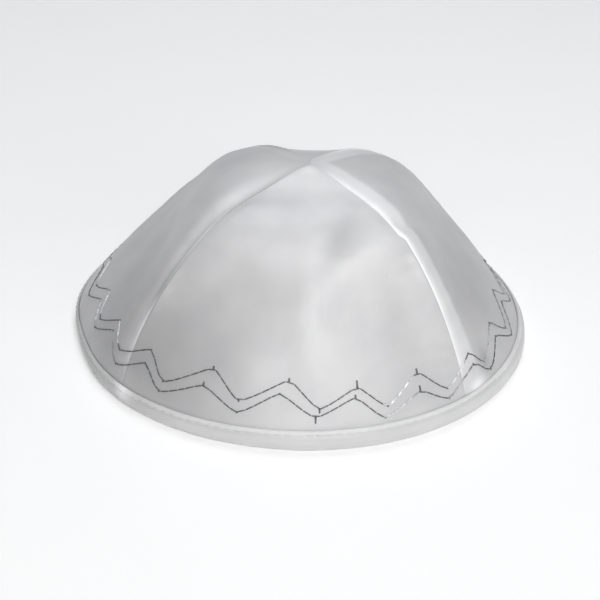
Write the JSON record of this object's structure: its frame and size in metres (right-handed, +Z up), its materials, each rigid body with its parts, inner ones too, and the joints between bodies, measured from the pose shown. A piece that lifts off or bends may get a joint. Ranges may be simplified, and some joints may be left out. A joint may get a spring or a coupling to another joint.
{
  "type": "kippah skullcap",
  "caption": "Satin skullcap sewn from gores that meet at its crown, with a folded binding round the rim and zigzag silver stitching above it, worn on top of the head.",
  "frame": {"origin": "centre of the rim's circle, on the surface that the cap stands on", "axes": "+Z up through the crown, -Y out of the front gore, +X to the right as seen from the front"},
  "size_m": [0.1702, 0.1701, 0.066],
  "materials": {
    "satin": "white polyester satin with a soft sheen",
    "binding": "folded white satin tape",
    "silver_thread": "metallic silver embroidery thread",
    "sewing_thread": "white polyester sewing thread"
  },
  "bodies": {
    "root": {"panel_front": "satin", "panel_right": "satin", "panel_back": "satin", "panel_left": "satin", "rim_band": "binding"}
  },
  "joints": []
}
